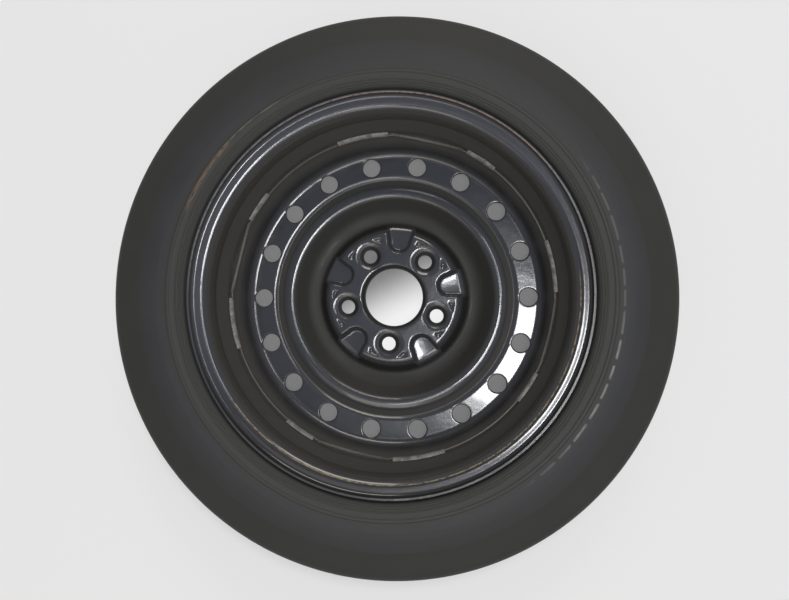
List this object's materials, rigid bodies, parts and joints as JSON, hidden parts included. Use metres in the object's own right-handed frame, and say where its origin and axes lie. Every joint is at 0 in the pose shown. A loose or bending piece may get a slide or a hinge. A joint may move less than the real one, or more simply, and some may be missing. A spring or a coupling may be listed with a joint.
{
  "type": "spare wheel",
  "caption": "Narrow temporary spare wheel: a black stamped steel disc wheel with a ring of vent holes, a bolted hub pad and a slim tyre with a capped air valve.",
  "frame": {"origin": "centre of the wheel: on its axis, half-way across the tyre and the rim", "axes": "+Z along the wheel's axis towards the inboard side, which faces up as the wheel lies on its outboard side; +X and +Y across the wheel"},
  "size_m": [0.6314, 0.6314, 0.1296],
  "materials": {
    "tyre_rubber": "matt",
    "black_paint": "gloss",
    "valve_rubber": "satin",
    "brass": "satin",
    "spring_steel": "satin",
    "cap_plastic": "matt"
  },
  "bodies": {
    "wheel": {"tyre": "tyre_rubber", "rim": "black_paint", "wheel_disc": "black_paint", "weld_beads": "black_paint", "valve_body": "valve_rubber", "valve_stem": "brass", "valve_core": "brass", "core_seal": "valve_rubber", "pin_spring": "spring_steel"},
    "pin": {"valve_pin": "brass", "pin_seal": "valve_rubber"},
    "cap": {"valve_cap": "cap_plastic"}
  },
  "joints": [
    {"name": "valve_pin_press", "type": "slide", "parent": "wheel", "child": "pin", "axis": [-0.1271, 0.0566, 0.9903], "range_m": [0, 0.0015], "stiffness_N_per_m": 500, "springref_m": -0.004, "deforming": ["pin_spring"]},
    {"name": "valve_cap_lift", "type": "slide", "parent": "wheel", "child": "cap", "axis": [0.1271, -0.0566, -0.9903], "range_m": [0, 0.012]}
  ]
}
